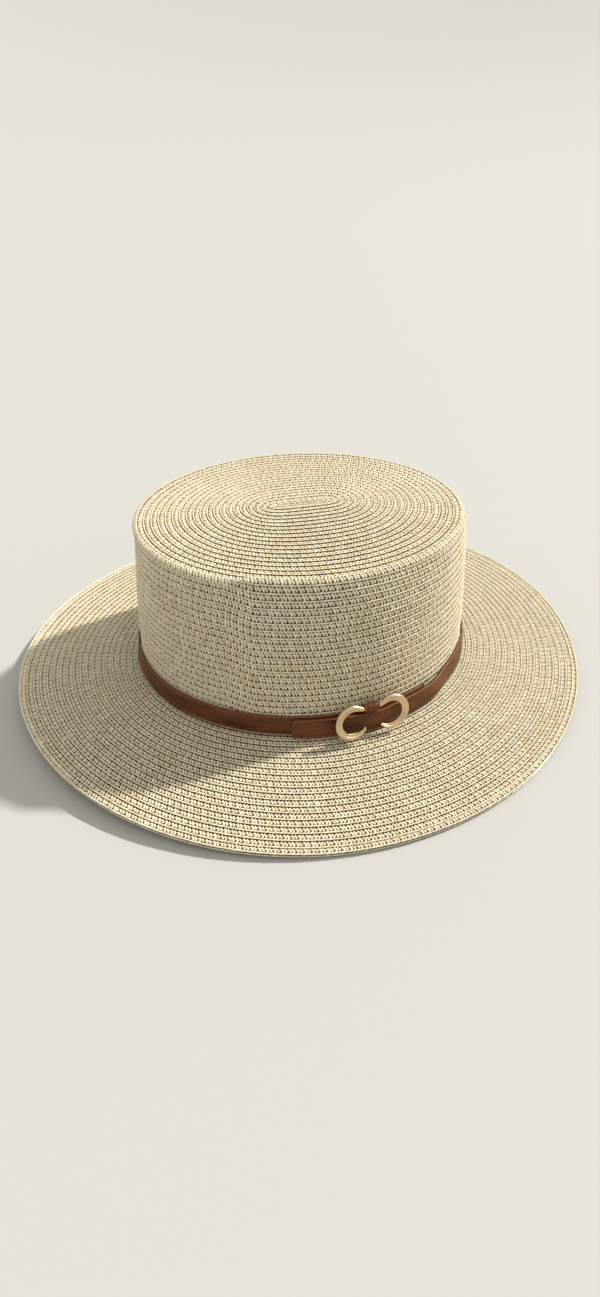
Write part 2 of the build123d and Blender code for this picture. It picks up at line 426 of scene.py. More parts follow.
# across: mm in from the row's outer edge; depth: mm under the row's face; size: mm long, wide, high;
# turn: degrees from the row; shift: how far along, in cells; pair: the same for every second float
TOP_FLOATS = [
    dict(across=0.50, depth=0.14, size=(2.5, 0.96, 0.46), turn=7, shift=0.0, pair=0.0),
    dict(across=2.52, depth=0.24, size=(3.62, 1.20, 0.46), turn=-65, shift=0.30, pair=-0.13),
    dict(across=2.90, depth=0.33, size=(1.7, 0.78, 0.40), turn=45, shift=0.80, pair=0.0),
]
UNDER_FLOATS = [
    dict(across=4.70, depth=0.62, size=(2.5, 1.00, 0.44), turn=7, shift=0.5, pair=0.0),
    dict(across=2.75, depth=0.62, size=(3.85, 1.24, 0.44), turn=-66, shift=0.80, pair=-0.11),
    dict(across=2.30, depth=0.50, size=(1.7, 0.78, 0.40), turn=45, shift=0.30, pair=0.0),
]
CORE_ACROSS = (0.25, 1.9, 3.5, 4.95)      # mm in from the row's outer edge
CORE_TOP, CORE_BOTTOM = 0.40 * MM, 0.56 * MM


# %% Rows as a spiral
class Rows:
    """One length of plait, wound as a spiral on a surface rule."""

    def __init__(self, place, pitch, first_angle, first_reach, last_reach, turns):
        self.place, self.pitch = place, pitch
        self.drop = crown_drop if place is crown_place else brim_drop
        self.first_angle, self.first_reach, self.last_reach = first_angle, first_reach, last_reach
        dense = np.linspace(0, turns * 2 * np.pi, int(turns * 360))
        points = self.at(dense, 2 * MM)
        run = np.concatenate([[0], np.cumsum(np.linalg.norm(np.diff(points, axis=0), axis=1))])
        self.length = run[-1]
        self.count = int(self.length / cell)
        self.steps = np.interp(np.arange(self.count) * cell, run, dense)

    def at(self, turned, across, depth=0.0):
        """Points `across` in from the row's outer edge and `depth` under its upper face."""
        edge = np.minimum(self.first_reach + self.pitch * turned / (2 * np.pi), self.last_reach)
        narrowed = np.clip(edge / row_width, 0.05, 1.0) if self.place is crown_place else 1.0
        reach = edge - across * narrowed
        angle = self.first_angle + turned
        points = self.place(reach, angle)
        if np.any(depth):
            facing, _, _ = self.directions(turned, across)
            points = points - facing * depth
        return points

    def directions(self, turned, across):
        """Facing, along and down-row directions at the same places."""
        nudge = 1e-3
        along = self.at(turned + nudge, across) - self.at(turned - nudge, across)
        down = self.at(turned, across - 0.05 * MM) - self.at(turned, across + 0.05 * MM)
        along /= np.linalg.norm(along, axis=-1, keepdims=True)
        down /= np.maximum(np.linalg.norm(down, axis=-1, keepdims=True), 1e-12)
        facing = np.cross(down, along)
        facing /= np.maximum(np.linalg.norm(facing, axis=-1, keepdims=True), 1e-12)
        return facing, along, down


# %% Anchors for the floats of one run of a row
def tilted(rows, turned, across):
    """Frame of a row that rises towards its outer edge, where it lies on the next row."""
    facing, along, down = rows.directions(turned, across)
    facing = facing - down * (rows.drop / rows.pitch)
    facing /= np.linalg.norm(facing, axis=-1, keepdims=True)
    return facing, along


def float_anchors(rows, first, last, kinds, under):
    """Where each kind of float lies in the cells from first to last."""
    step = rows.steps[1:] - rows.steps[:-1]
    step = np.append(step, step[-1])[first:last]
    index = np.arange(first, last)
    found = dict(point=[], facing=[], along=[], size=[], turn=[])
    for kind in kinds:
        turned = rows.steps[first:last] + step * (kind["shift"] + kind["pair"] * (index % 2))
        across = kind["across"] * MM
        sink = kind["depth"] * MM + rows.drop * across / rows.pitch
        facing, along = tilted(rows, turned, across)
        slim = np.where(index % 2 == 0, 1.0, slighter)
        found["point"].append(rows.at(turned, across, sink))
        found["facing"].append(-facing if under else facing)
        found["along"].append(along)
        found["size"].append(np.outer(slim, np.array(kind["size"]) * MM))
        found["turn"].append(np.full(last - first, math.radians(kind["turn"])))
    return {name: np.concatenate(values) for name, values in found.items()}


def anchor_cloud(found):
    """A mesh of loose points that carries the floats' directions and sizes."""
    cloud = new_piece("anchors", found["point"], [])
    for name in ("facing", "along", "size"):
        set_attribute(cloud.data, name, "FLOAT_VECTOR", found[name])
    set_attribute(cloud.data, "turn", "FLOAT", found["turn"])
    return cloud


# %% [markdown]
# Under the floats runs the plait's middle, the strands that are just passing below. It closes the
# holes, so no light comes through, and it is one thin strip swept along the same spiral.
# It is coloured near black, painted shade, so the holes between the floats read dark.

# %% The strip in the middle of the plait
core_tight_turns, core_skip = 3, 4          # rings at every cell for three turns, then at every fourth


def core_strip(rows, first, last):
    steps = rows.steps[first:min(last + 1, rows.count)]
    tight = (steps < core_tight_turns * 2 * np.pi) & (rows.place is crown_place)
    loose = np.arange(len(steps)) % core_skip == 0
    keep = tight | loose
    keep[-1] = True
    steps = steps[keep]
    rings = []
    for depth, across_list in ((CORE_TOP, CORE_ACROSS), (CORE_BOTTOM, CORE_ACROSS[::-1])):
        for across in across_list:
            sink = depth + rows.drop * across * MM / rows.pitch
            rings.append(rows.at(steps, across * MM, sink))
    rings = np.stack(rings, axis=1)
    count, corners = rings.shape[:2]
    index = np.arange(count * corners).reshape(count, corners)
    here, beside = index[:-1], np.roll(index, -1, axis=1)[:-1]
    ahead, ahead_beside = index[1:], np.roll(index, -1, axis=1)[1:]
    faces = np.stack([here, beside, ahead_beside, ahead], axis=-1).reshape(-1, 4).tolist()
    faces += [index[0][::-1].tolist(), index[-1].tolist()]
    core = new_piece("core", rings.reshape(-1, 3), faces, straw)
    # shade 0 takes the ramp's near-black stop: painted shade, so the holes between the floats read dark
    set_attribute(core.data, "shade", "FLOAT", np.zeros(count * corners))
    fibre = np.stack([np.repeat(np.arange(count) * core_skip * cell, corners),
                      np.tile(np.arange(corners) * MM, count), np.zeros(count * corners)], axis=-1)
    set_attribute(core.data, "fibre", "FLOAT_VECTOR", fibre)
    return core


# %% A Geometry Nodes tree that lays floats on anchors
size_error, turn_error, roll_error = 0.10, 0.12, 0.10     # share of size, and radians
palest, darkest = 1.0, 0.12                               # range of the strands' shade


def make_lay_tree():
    tree = bpy.data.node_groups.new("lay_floats", "GeometryNodeTree")
    sockets = {}
    for name, kind, value in (
            ("Anchors", "NodeSocketGeometry", None), ("Float", "NodeSocketObject", None),
            ("Core", "NodeSocketObject", None), ("Size error", "NodeSocketFloat", size_error),
            ("Turn error", "NodeSocketFloat", turn_error), ("Roll error", "NodeSocketFloat", roll_error),
            ("Seed", "NodeSocketInt", 7), ("Straw", "NodeSocketMaterial", None)):
        socket = tree.interface.new_socket(name, in_out="INPUT", socket_type=kind)
        if value is not None:
            socket.default_value = value
        sockets[name] = socket.identifier
    tree.interface.new_socket("Plait", in_out="OUTPUT", socket_type="NodeSocketGeometry")
    nodes, links = tree.nodes, tree.links
    given = nodes.new("NodeGroupInput")

    def named(name, kind):
        node = nodes.new("GeometryNodeInputNamedAttribute")
        node.data_type = kind
        node.inputs["Name"].default_value = name
        return node.outputs["Attribute"]

    def chance(seed_shift, low=-1.0, high=1.0):
        node = nodes.new("FunctionNodeRandomValue")
        node.data_type = "FLOAT"
        node.inputs[2].default_value, node.inputs[3].default_value = low, high
        shifted = nodes.new("ShaderNodeMath")
        shifted.inputs[1].default_value = seed_shift
        links.new(given.outputs["Seed"], shifted.inputs[0])
        links.new(shifted.outputs[0], node.inputs["Seed"])
        return node.outputs[1]

    def maths(operation, first, second):
        node = nodes.new("ShaderNodeMath")
        node.operation = operation
        for socket, value in zip(node.inputs, (first, second)):
            if isinstance(value, float):
                socket.default_value = value
            else:
                links.new(value, socket)
        return node.outputs[0]

    aim_node = nodes.new("FunctionNodeAxesToRotation")
    aim_node.primary_axis, aim_node.secondary_axis = "Z", "X"
    links.new(named("facing", "FLOAT_VECTOR"), aim_node.inputs[0])
    links.new(named("along", "FLOAT_VECTOR"), aim_node.inputs[1])
    turn = maths("ADD", named("turn", "FLOAT"), maths("MULTIPLY", chance(1), given.outputs["Turn error"]))
    roll = maths("MULTIPLY", chance(2), given.outputs["Roll error"])
    euler = nodes.new("ShaderNodeCombineXYZ")
    links.new(roll, euler.inputs["X"])
    links.new(turn, euler.inputs["Z"])
    to_rotation = nodes.new("FunctionNodeEulerToRotation")
    links.new(euler.outputs[0], to_rotation.inputs[0])
    turned = nodes.new("FunctionNodeRotateRotation")
    turned.rotation_space = "LOCAL"
    links.new(aim_node.outputs[0], turned.inputs[0])
    links.new(to_rotation.outputs[0], turned.inputs[1])
    scale = nodes.new("ShaderNodeVectorMath")
    scale.operation = "SCALE"
    links.new(named("size", "FLOAT_VECTOR"), scale.inputs[0])
    size_share = maths("ADD", maths("MULTIPLY", chance(3), given.outputs["Size error"]), 1.0)
    links.new(size_share, scale.inputs["Scale"])

    shape = nodes.new("GeometryNodeObjectInfo")
    links.new(given.outputs["Float"], shape.inputs["Object"])
    lay = nodes.new("GeometryNodeInstanceOnPoints")
    links.new(given.outputs["Anchors"], lay.inputs["Points"])
    links.new(shape.outputs["Geometry"], lay.inputs["Instance"])
    links.new(turned.outputs[0], lay.inputs["Rotation"])
    links.new(scale.outputs[0], lay.inputs["Scale"])
    store = nodes.new("GeometryNodeStoreNamedAttribute")
    store.data_type, store.domain = "FLOAT", "INSTANCE"
    store.inputs["Name"].default_value = "shade"
    links.new(lay.outputs["Instances"], store.inputs["Geometry"])
    links.new(chance(4, darkest, palest), store.inputs["Value"])
    realize = nodes.new("GeometryNodeRealizeInstances")
    links.new(store.outputs["Geometry"], realize.inputs["Geometry"])
    core = nodes.new("GeometryNodeObjectInfo")
    links.new(given.outputs["Core"], core.inputs["Object"])
    join = nodes.new("GeometryNodeJoinGeometry")
    links.new(core.outputs["Geometry"], join.inputs[0])
    links.new(realize.outputs[0], join.inputs[0])
    paint = nodes.new("GeometryNodeSetMaterial")
    links.new(join.outputs[0], paint.inputs["Geometry"])
    links.new(given.outputs["Straw"], paint.inputs["Material"])
    result = nodes.new("NodeGroupOutput")
    links.new(paint.outputs[0], result.inputs[0])
    return tree, sockets


lay_tree, lay_sockets = make_lay_tree()


# %% Laying one run
def drop(piece):
    mesh = piece.data
    bpy.data.objects.remove(piece)
    bpy.data.meshes.remove(mesh)


def run_tree(host, tree, values):
    """Runs a tree on the host object and returns the result as a plain mesh."""
    modifier = host.modifiers.new("nodes", "NODES")
    modifier.node_group = tree
    for identifier, value in values.items():
        modifier[identifier] = value
    evaluated = host.evaluated_get(bpy.context.evaluated_depsgraph_get())
    mesh = bpy.data.meshes.new_from_object(evaluated)
    host.modifiers.remove(modifier)
    return mesh


def lay_floats(host, shape, under_it, seed, material):
    """Lays a float on every point of the host and joins them with what lies under them."""
    mesh = run_tree(host, lay_tree, {
        lay_sockets["Float"]: shape, lay_sockets["Core"]: under_it,
        lay_sockets["Size error"]: size_error, lay_sockets["Turn error"]: turn_error,
        lay_sockets["Roll error"]: roll_error, lay_sockets["Seed"]: seed,
        lay_sockets["Straw"]: material})
    drop(host)
    if under_it:
        drop(under_it)
    piece = bpy.data.objects.new("laid", mesh)
    bpy.context.scene.collection.objects.link(piece)
    return piece


inside_seed_shift = 50


def lay_run(name, rows, first, last, seed, under=True):
    """One piece of plait, with floats on its face and, with `under`, on its inside too."""
    cloud = anchor_cloud(float_anchors(rows, first, last, TOP_FLOATS, under=False))
    piece = lay_floats(cloud, full_float, core_strip(rows, first, last), seed, straw)
    if under:
        cloud = anchor_cloud(float_anchors(rows, first, last, UNDER_FLOATS, under=True))
        piece = lay_floats(cloud, plain_float, piece, seed + inside_seed_shift, straw)
    piece.name = piece.data.name = name
    return piece


# %% [markdown]
# ## Crown and brim
# The crown is one length of plait. It starts towards the back of the tip and crosses the rim at the
# front left, where one row can be seen going over the edge. The length is cut into pieces of a few
# rows each, so no mesh is too heavy to open. The lowest rows have no floats on their inside, because
# the sweatband covers them.

# %% Lay the crown
rim_crossing_reach = flat_reach + row_pitch_crown / 2
crown_start_reach = 1.0 * MM
turns_to_rim = (rim_crossing_reach - crown_start_reach) / row_pitch_crown
crown_start_angle = crossing_angle - turns_to_rim * 2 * math.pi
crown_turns = (crown_reach - crown_start_reach) / row_pitch_crown + 1
crown_rows = Rows(crown_place, row_pitch_crown, crown_start_angle, crown_start_reach, crown_reach,
                  crown_turns)
print("crown plait", round(crown_rows.length, 2), "m in", crown_rows.count, "cells")


def cell_at(rows, reach):
    """The first cell whose row's outer edge has come to this reach."""
    turned = (reach - rows.first_reach) / rows.pitch * 2 * math.pi
    return int(np.searchsorted(rows.steps, turned))


def lay_in_runs(stem, rows, first, last, pieces, slot, node, seed, under=True):
    """Cuts a length of plait into pieces of even length and lays each of them."""
    cuts = np.linspace(first, last, pieces + 1).astype(int)
    for number, (low, high) in enumerate(zip(cuts[:-1], cuts[1:]), 1):
        piece = lay_run(f"{stem}_{number}", rows, int(low), int(high), seed + number, under)
        settle(piece, "hat", slot, node)


tip_end = cell_at(crown_rows, rim_crossing_reach)
lay_in_runs("crown_tip_rows", crown_rows, 0, tip_end, 2, "straw", "crown_tip", 100)
behind_band = 24 * MM
band_start = cell_at(crown_rows, crown_reach - behind_band)
lay_in_runs("crown_side_rows", crown_rows, tip_end, band_start, 3, "straw", "crown_side", 200)
lay_in_runs("crown_foot_rows", crown_rows, band_start, crown_rows.count, 1, "straw", "crown_side", 250,
            under=False)

# %% Lay the brim
brim_start_angle = math.radians(150)
brim_first_reach = 0.5 * MM
brim_turns = (brim_width - brim_first_reach) / row_pitch_brim + 1
brim_rows = Rows(brim_place, row_pitch_brim, brim_start_angle, brim_first_reach, brim_width, brim_turns)
print("brim plait", round(brim_rows.length, 2), "m in", brim_rows.count, "cells")
lay_in_runs("brim_rows", brim_rows, 0, brim_rows.count, 5, "straw", "brim", 300)

# %% Lay the row under the edge
edge_start_angle = math.radians(200)
edge_rows = Rows(edge_row_place, row_pitch_brim, edge_start_angle, brim_width, brim_width, 1.0)
lay_in_runs("edge_row", edge_rows, 0, edge_rows.count, 1, "straw", "brim_edge_row", 400)


# %% [markdown]
# ## Leather strips and swept metal
# The strap and the keeper are cut strips: a path with an outward direction at each point, and a
# rectangular section with rounded, slightly domed faces. The buckle is a bar whose section changes as
# it goes. One helper sweeps any closed section along any path, so both use it.

# %% Sweep a section along a path
def turn_faces_outwards(mesh):
    clean = bmesh.new()
    clean.from_mesh(mesh)
    bmesh.ops.recalc_face_normals(clean, faces=clean.faces)
    clean.to_mesh(mesh)
    clean.free()


def sweep_section(name, path, sideways, outwards, sections, material):
    """Joins closed sections, given as (sideways, outwards) pairs for each path point, into a solid."""
    path, sideways, outwards = (np.asarray(v, float) for v in (path, sideways, outwards))
    sections = np.asarray(sections, float)
    count, corners = sections.shape[:2]
    rings = (path[:, None] + sideways[:, None] * sections[..., :1] + outwards[:, None] * sections[..., 1:])
    index = np.arange(count * corners).reshape(count, corners)
    quads = np.stack([index[:-1], np.roll(index, -1, axis=1)[:-1],
                      np.roll(index, -1, axis=1)[1:], index[1:]], axis=-1).reshape(-1, 4)
    caps = [index[0][::-1].tolist(), index[-1].tolist()]
    piece = new_piece(name, rings.reshape(-1, 3), quads.tolist() + caps, material)
    turn_faces_outwards(piece.data)
    run = np.concatenate([[0], np.cumsum(np.linalg.norm(np.diff(path, axis=0), axis=1))])
    set_attribute(piece.data, "run", "FLOAT_VECTOR", np.stack(
        [np.repeat(run, corners), sections[..., 0].ravel(), sections[..., 1].ravel()], axis=-1))
    width = np.abs(sections[..., 0]).max(axis=1, keepdims=True)
    set_attribute(piece.data, "edge", "FLOAT", (np.abs(sections[..., 0]) / np.maximum(width, 1e-9)).ravel())
    return piece


def strip_section(width, thickness, dome=0.0, rounding=0.35):
    """A cut strip: flat back, slightly domed face, rounded edges."""
    half, r = width / 2, min(rounding * MM, thickness * 0.45)
    corner = [(math.sin(t), math.cos(t)) for t in np.linspace(0, math.pi / 2, 4)]
    face = [(half - r + r * s, thickness - r + r * c) for s, c in corner]
    back = [(half - r + r * c, r - r * s) for s, c in corner]
    right = face + back
    across = np.linspace(0.8, -0.8, 7) * (half - r)
    top = [(x, thickness + dome * (1 - (x / half) ** 2)) for x in across]
    left = [(-x, y) for x, y in reversed(right)]
    bottom = [(x, 0.0) for x in -across[1::2]]
    return top + left + bottom + right


# %% [markdown]
# ## Leather
# The strap is a smooth brown leather with a low sheen, mottled between a deeper and a warmer brown, warmer
# where it is rubbed. Its edges are lighter: a burnished colour that is also a painted highlight along
# the edges. The keeper is the same leather in a redder cut that shows the creases of being rolled.

# %% Leather material
def make_leather(name, deep, warm, burnish_and_highlight_colour, crease):
    material, nodes, links, shader = shader_nodes(name)
    run = nodes.new("ShaderNodeAttribute")
    run.attribute_name = "run"
    edge = nodes.new("ShaderNodeAttribute")
    edge.attribute_name = "edge"
    coordinates = nodes.new("ShaderNodeTexCoord").outputs["Object"]
    cloud = noise(nodes, links, stretched(nodes, links, run.outputs["Vector"], (45, 160, 160)), 1.0, 4.0)
    colour = ramp(nodes, links, cloud, [(0.28, deep), (0.72, warm)])
    # Lighter edges: a burnished edge colour that is also a painted highlight along the edges.
    rim = ramp(nodes, links, edge.outputs["Fac"], [(0.84, (0, 0, 0)), (0.97, (1, 1, 1))])
    colour = mixed(nodes, links, "MIX", rim, colour, burnish_and_highlight_colour)
    links.new(colour, shader.inputs["Base Color"])
    rubbed = nodes.new("ShaderNodeMapRange")
    rubbed.inputs["To Min"].default_value, rubbed.inputs["To Max"].default_value = 0.34, 0.52
    links.new(cloud, rubbed.inputs["Value"])
    links.new(rubbed.outputs["Result"], shader.inputs["Roughness"])
    shader.inputs["Specular IOR Level"].default_value = 0.28
    shader.inputs["Coat Weight"].default_value = 0.04
    shader.inputs["Coat Roughness"].default_value = 0.25
    grain = nodes.new("ShaderNodeTexVoronoi")
    grain.feature = "DISTANCE_TO_EDGE"
    grain.inputs["Scale"].default_value = 1500
    links.new(coordinates, grain.inputs["Vector"])
    pores = bumped(nodes, links, shader, grain.outputs["Distance"], 0.25, 0.00008)
    wrinkles = noise(nodes, links, stretched(nodes, links, run.outputs["Vector"], crease), 1.0, 3.0)
    bumped(nodes, links, shader, wrinkles, 0.4, 0.0002, below=pores)
    return material


# Deep and warm browns, then the lighter edge colour: burnished, and a painted highlight along the edges.
strap_leather = make_leather("strap_leather", (0.052, 0.014, 0.003), (0.185, 0.062, 0.015),
                             (0.20, 0.078, 0.026), (220, 60, 60))
keeper_leather = make_leather("keeper_leather", (0.045, 0.010, 0.005), (0.15, 0.036, 0.015),
                              (0.20, 0.065, 0.03), (60, 500, 500))

# %% [markdown]
# ## The strap
# One strap goes right round the foot of the crown, climbs onto its own hidden end, passes through the
# buckle, where it arches out a little, and ends in a rounded tail. It leans out at the bottom where
# the crown flares into the brim.
# Its path is the same rule as the frame's strap: an angle round the oval and an offset that climbs
# over the last stretch, so it is swept through closely spaced points.

# %% The strap's path
strap_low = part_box("belt_strap")[0]
hidden_end, tail_angle = math.radians(-60), math.radians(-105.6)
full_turn = 2 * math.pi + hidden_end - tail_angle
climb = math.radians(16)
inner_layer, outer_layer = 0.2 * MM, 2.9 * MM
strap_thickness = 1.15 * MM
strap_width = 11.6 * MM
strap_lean_out = 1.6 * MM
tail_round = 3.4 * MM
buckle_angle = math.radians(-82.1)
arch, arch_width, arch_turn = 1.3 * MM, math.radians(5), math.radians(1.5)
droop_width = math.radians(30)
tail_bend = 0.05                # the last stretch, in radians, that rounds into the tail


def strap_layer(turned):
    share = np.clip((turned - (2 * math.pi - climb)) / climb, 0, 1)
    return inner_layer + (outer_layer - inner_layer) * (1 - np.cos(np.pi * share)) / 2


even = np.linspace(0, full_turn - tail_bend, 300)
near_end = full_turn - tail_bend * (1 - np.sin(np.linspace(0, math.pi / 2, 20)))
turned = np.concatenate([even, near_end[1:]])
strap_angle = hidden_end - turned
lapped = np.clip((turned - (2 * math.pi - climb)) / climb, 0, 1)
from_arch = strap_angle + 2 * math.pi - buckle_angle - arch_turn
at_buckle = np.exp(-(from_arch / arch_width) ** 2) * lapped
sway = 0.22 * MM * np.sin(3 * strap_angle + 1) + 0.12 * MM * np.sin(7 * strap_angle)
from_buckle = np.mod(strap_angle, 2 * math.pi) - (buckle_angle + 2 * math.pi)
drooping = np.exp(-(from_buckle / droop_width) ** 2)
low_z = strap_low.z + 1.6 * MM - 1.3 * MM * drooping + 0.5 * sway - 0.2 * MM * lapped
lean = math.asin(strap_lean_out / strap_width)
middle_z = low_z + strap_width / 2 * math.cos(lean)
middle_offset = strap_layer(turned) + strap_lean_out / 2 + arch * at_buckle
path = np.stack([(oval_a + middle_offset) * np.cos(strap_angle),
                 (oval_b + middle_offset) * np.sin(strap_angle), middle_z], axis=-1)
level_out = np.stack([oval_b * np.cos(strap_angle), oval_a * np.sin(strap_angle), 0 * strap_angle], axis=-1)
level_out /= np.linalg.norm(level_out, axis=-1, keepdims=True)
up = np.array([0, 0, 1.0])
strap_up = up * math.cos(lean) - level_out * math.sin(lean)
strap_out = level_out * math.cos(lean) + up * math.sin(lean)

# %% Sweep the strap
metres = np.concatenate([[0], np.cumsum(np.linalg.norm(np.diff(path, axis=0), axis=1))])
to_tail = np.clip(metres[-1] - metres, 0, tail_round)
strap_half = strap_width / 2
tail_share = (strap_half - tail_round + np.sqrt(tail_round ** 2 - (tail_round - to_tail) ** 2)) / strap_half
flat_section = np.array(strip_section(strap_width, strap_thickness, 0.12 * MM))
strap_sections = np.repeat(flat_section[None], len(path), axis=0)
strap_sections[..., 0] *= tail_share[:, None]
strap = sweep_section("belt_strap_leather", path, strap_up, strap_out, strap_sections, strap_leather)
settle(strap, "hat", "belt_leather", "belt_strap")

# %% [markdown]
# ## The buckle
# The buckle is one piece of cast metal: a straight bar in the middle, and at each end a ring that
# curls round and down and stops short of closing, in a narrow point. The section is broad and softly
# ridged with a small lip inside, which gives two lines of light. It is swept along one path from tip
# to tip, so the metal flows without a joint. The whole turns on its bar.

# %% Buckle metal
def make_metal():
    material, nodes, links, shader = shader_nodes("satin_pale_gold")
    coordinates = nodes.new("ShaderNodeTexCoord").outputs["Object"]
    cloud = noise(nodes, links, coordinates, 120.0, 2.0)
    links.new(ramp(nodes, links, cloud, [(0.3, (0.70, 0.53, 0.325)), (0.7, (0.75, 0.585, 0.375))]),
              shader.inputs["Base Color"])
    shader.inputs["Metallic"].default_value = 1.0
    satin = nodes.new("ShaderNodeMapRange")
    satin.inputs["To Min"].default_value, satin.inputs["To Max"].default_value = 0.30, 0.36
    links.new(noise(nodes, links, coordinates, 300.0, 2.0), satin.inputs["Value"])
    links.new(satin.outputs["Result"], shader.inputs["Roughness"])
    brushed = noise(nodes, links, stretched(nodes, links, coordinates, (900, 900, 6000)), 1.0)
    bumped(nodes, links, shader, brushed, 0.03, 0.00003)
    return material


# %% The buckle's path
bar_centre = np.array(hinge["pos_m"])
along_bar = -np.array(hinge["axis"])
along_bar /= np.linalg.norm(along_bar)
outward = np.cross(along_bar, up)
buckle_lean = math.radians(20)
bar_half = 4.5 * MM
ring_across, ring_down = 8.5 * MM, 8.0 * MM
ring_x, ring_y = 11.1 * MM, -6.0 * MM
tip_turn = math.radians(-140)
ring_tilt = math.tan(math.radians(3.2))

bar_part = [(x, 0.0) for x in np.linspace(0, bar_half, 5)]
share = np.linspace(0, 1, 9)[1:-1]
shoulder = [(bar_half + (ring_x - bar_half) * t, (ring_y + ring_down) * t * t * (3 - 2 * t)) for t in share]
ring_turns = np.linspace(math.pi / 2, tip_turn, 40)
ring_part = [(ring_x + ring_across * math.cos(t), ring_y + ring_down * math.sin(t)) for t in ring_turns]
right_half = np.array(bar_part + shoulder + ring_part)
left_half = right_half[:0:-1] * (-1, 1)
flat_path = np.concatenate([left_half, right_half])
past_bar = np.clip(np.abs(flat_path[:, 0]) - bar_half, 0, None)
flat_path[:, 1] += ring_tilt * np.sign(flat_path[:, 0]) * past_bar

# %% Sweep the buckle
buckle_up = up * math.cos(buckle_lean) - outward * math.sin(buckle_lean)
buckle_out = outward * math.cos(buckle_lean) + up * math.sin(buckle_lean)
buckle_path = bar_centre + flat_path[:, :1] * along_bar + flat_path[:, 1:] * buckle_up
flat_heading = np.gradient(flat_path, axis=0)
flat_heading /= np.linalg.norm(flat_heading, axis=1, keepdims=True)
flat_side = np.stack([-flat_heading[:, 1], flat_heading[:, 0]], axis=1)
buckle_side = flat_side[:, :1] * along_bar + flat_side[:, 1:] * buckle_up
run_length = np.concatenate([[0], np.cumsum(np.linalg.norm(np.diff(flat_path, axis=0), axis=1))])
half_run = run_length[-1] / 2
from_bar = np.clip((np.abs(run_length - half_run) - bar_half) / (half_run - bar_half), 0, 1)
# outwards from the ring's outer side (first) to its inner lip, then round the back
BAND = [(1.0, -0.1), (0.97, 0.40), (0.80, 0.82), (0.50, 1.05), (0.18, 0.92), (-0.08, 0.45), (-0.28, 0.08),
        (-0.50, 0.30), (-0.76, 0.40), (-1.0, 0.0), (-0.90, -0.52), (-0.50, -0.82), (0.0, -0.88),
        (0.50, -0.82), (0.90, -0.52)]
ROUND = [(math.cos(t), math.sin(t)) for t in np.linspace(0, 2 * math.pi, len(BAND), endpoint=False)]
swell_over, narrow_over = 0.22, 0.38        # shares of the half buckle, from the bar and from the tip
swell = np.sin(np.clip(from_bar / swell_over, 0, 1) * math.pi / 2)
narrow = np.sin(np.clip((1 - from_bar) / narrow_over, 0.0, 1) * math.pi / 2)
band_half = (1.2 + 0.85 * swell) * (0.30 + 0.70 * narrow) * MM
band_half[[0, -1]] *= 0.45
depth_half = (1.2 - 0.10 * swell) * (0.42 + 0.58 * narrow) * MM
depth_half[[0, -1]] *= 0.45
blend = np.clip(swell, 0, 1)[:, None, None]
shape = np.array(ROUND)[None] * (1 - blend) + np.array(BAND)[None] * blend
buckle_sections = shape * np.stack([band_half, depth_half], axis=-1)[:, None]
buckle_outwards = np.tile(buckle_out, (len(buckle_path), 1))
buckle_piece = sweep_section(
    "buckle_metal", buckle_path, buckle_side, buckle_outwards, buckle_sections, make_metal())
settle(buckle_piece, "buckle", "buckle_metal", "buckle")

# %% [markdown]
# ## The keeper
# A strip of leather is wrapped once round the buckle's bar and its ends go down flat behind the
# strap's lap, where they are stitched. It is swept along that wrapping path, so it really is a strip
# with a thickness, with the bar inside.

# %% The keeper's path
keeper_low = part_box("belt_keeper")[0]
keeper_width = 8.4 * MM
keeper_thickness = 1.15 * MM
roll_middle = 1.32 * MM
strip_back = outer_layer - 0.15 * MM - 1.2 * MM
wall_point = np.array([oval_a * math.cos(buckle_angle), oval_b * math.sin(buckle_angle), 0])
bar_out = np.dot(bar_centre - wall_point, outward)
strip_at = strip_back - bar_out
wrap = [(strip_at, z) for z in np.linspace(keeper_low.z - bar_centre[2] + 0.2 * MM, -4.4 * MM, 8)]
turns = np.linspace(math.radians(205), math.radians(-90), 26)
wrap += [(roll_middle * math.cos(t), roll_middle * math.sin(t)) for t in turns]
wrap += [(-0.9 * MM, -2.1 * MM), (strip_at + 1.0 * MM, -3.4 * MM)]
wrap = np.array(wrap)
keeper_heading = np.gradient(wrap, axis=0)
keeper_heading /= np.linalg.norm(keeper_heading, axis=1, keepdims=True)
keeper_normal = np.stack([-keeper_heading[:, 1], keeper_heading[:, 0]], axis=1)
keeper_path = bar_centre + wrap[:, :1] * outward + wrap[:, 1:] * up
keeper_out = keeper_normal[:, :1] * outward + keeper_normal[:, 1:] * up
keeper_section = np.array(strip_section(keeper_width, keeper_thickness, 0.06 * MM, 0.4))
keeper = sweep_section("keeper_leather_strip", keeper_path, np.tile(along_bar, (len(wrap), 1)), keeper_out,
                       np.repeat(keeper_section[None], len(wrap), axis=0), keeper_leather)
settle(keeper, "hat", "keeper_leather", "belt_keeper")

# %% [markdown]
# ## The sweatband
# Inside the crown's foot sits a ribbed cotton band that keeps the straw off the forehead. Its ribs run
# up and down, its top edge is rolled, and its ends lap at the back. The ribs are in the mesh, because
# they catch the light when the hat lies open side up.

